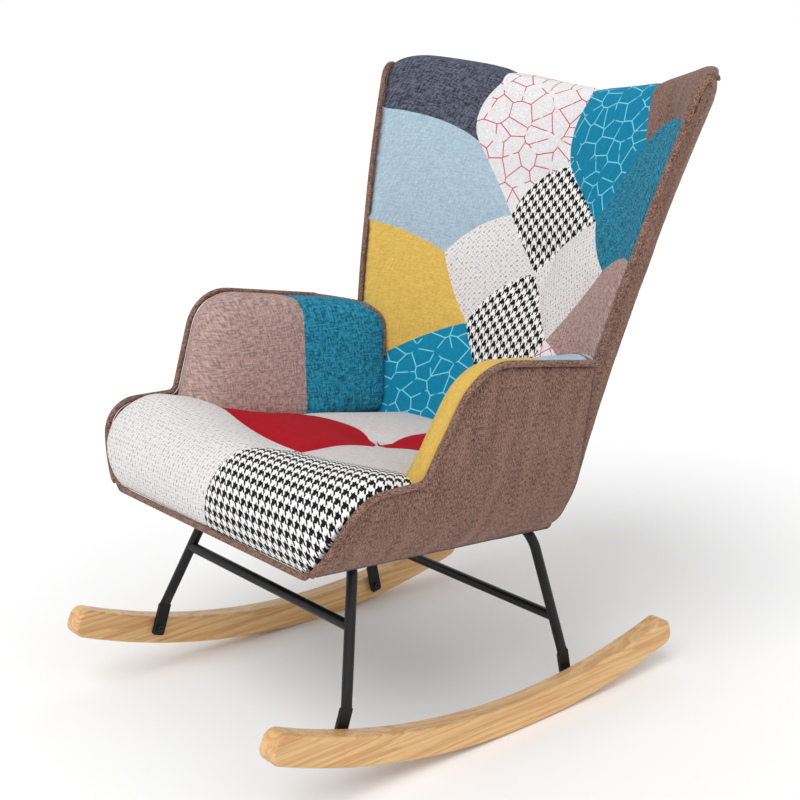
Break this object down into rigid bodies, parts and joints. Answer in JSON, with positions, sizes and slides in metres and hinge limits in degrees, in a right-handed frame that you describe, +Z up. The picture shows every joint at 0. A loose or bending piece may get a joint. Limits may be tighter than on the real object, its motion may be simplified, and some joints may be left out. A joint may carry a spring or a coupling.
{
  "type": "rocking armchair",
  "caption": "Padded wing-back rocking armchair with a sewn patchwork cover, piped edges, bent-tube leg frames and two curved wooden rockers.",
  "frame": {"origin": "bottom centre of the overall box, on the floor", "axes": "+Z up, the sitter faces -Y, +X is the sitter's left; the chair is symmetric about x = 0"},
  "size_m": [0.7174, 0.9274, 0.9728],
  "materials": {
    "rocker_wood": "clear satin lacquer over a pale, straight-grained hardwood",
    "plywood": "bare plywood, hidden by the upholstery",
    "black_tube": "satin black powder coat",
    "black_bolt": "black oxide",
    "zinc": "bright zinc plate",
    "brown_chenille": "flat-woven brown chenille",
    "patchwork": "sewn patches of plain, checked and line-printed cloth",
    "dust_cloth": "black non-woven cloth"
  },
  "bodies": {
    "root": {"rocker_left": "rocker_wood", "rocker_right": "rocker_wood", "seat_board": "plywood", "side_shell_left": "plywood", "side_shell_right": "plywood", "back_board": "plywood", "front_leg_hoop": "black_tube", "rear_leg_hoop": "black_tube", "front_stretcher": "black_tube", "rear_stretcher": "black_tube", "back_bracket_left": "black_tube", "back_bracket_right": "black_tube", "rocker_bolts": "black_bolt", "seat_bolts": "black_bolt", "bracket_screws": "black_bolt", "rocker_spacers": "zinc", "rocker_inserts": "zinc", "seat_tee_nuts": "zinc", "side_cover_left": "brown_chenille", "side_cover_right": "brown_chenille", "outer_back_pad": "brown_chenille", "back_border_left": "brown_chenille", "back_border_right": "brown_chenille", "side_piping_left": "brown_chenille", "side_piping_right": "brown_chenille", "front_piping": "brown_chenille", "wing_piping_left": "brown_chenille", "wing_piping_right": "brown_chenille", "top_piping": "brown_chenille", "seat_cushion": "patchwork", "arm_pad_left": "patchwork", "arm_pad_right": "patchwork", "back_cushion": "patchwork", "dust_cover": "dust_cloth"}
  },
  "joints": []
}
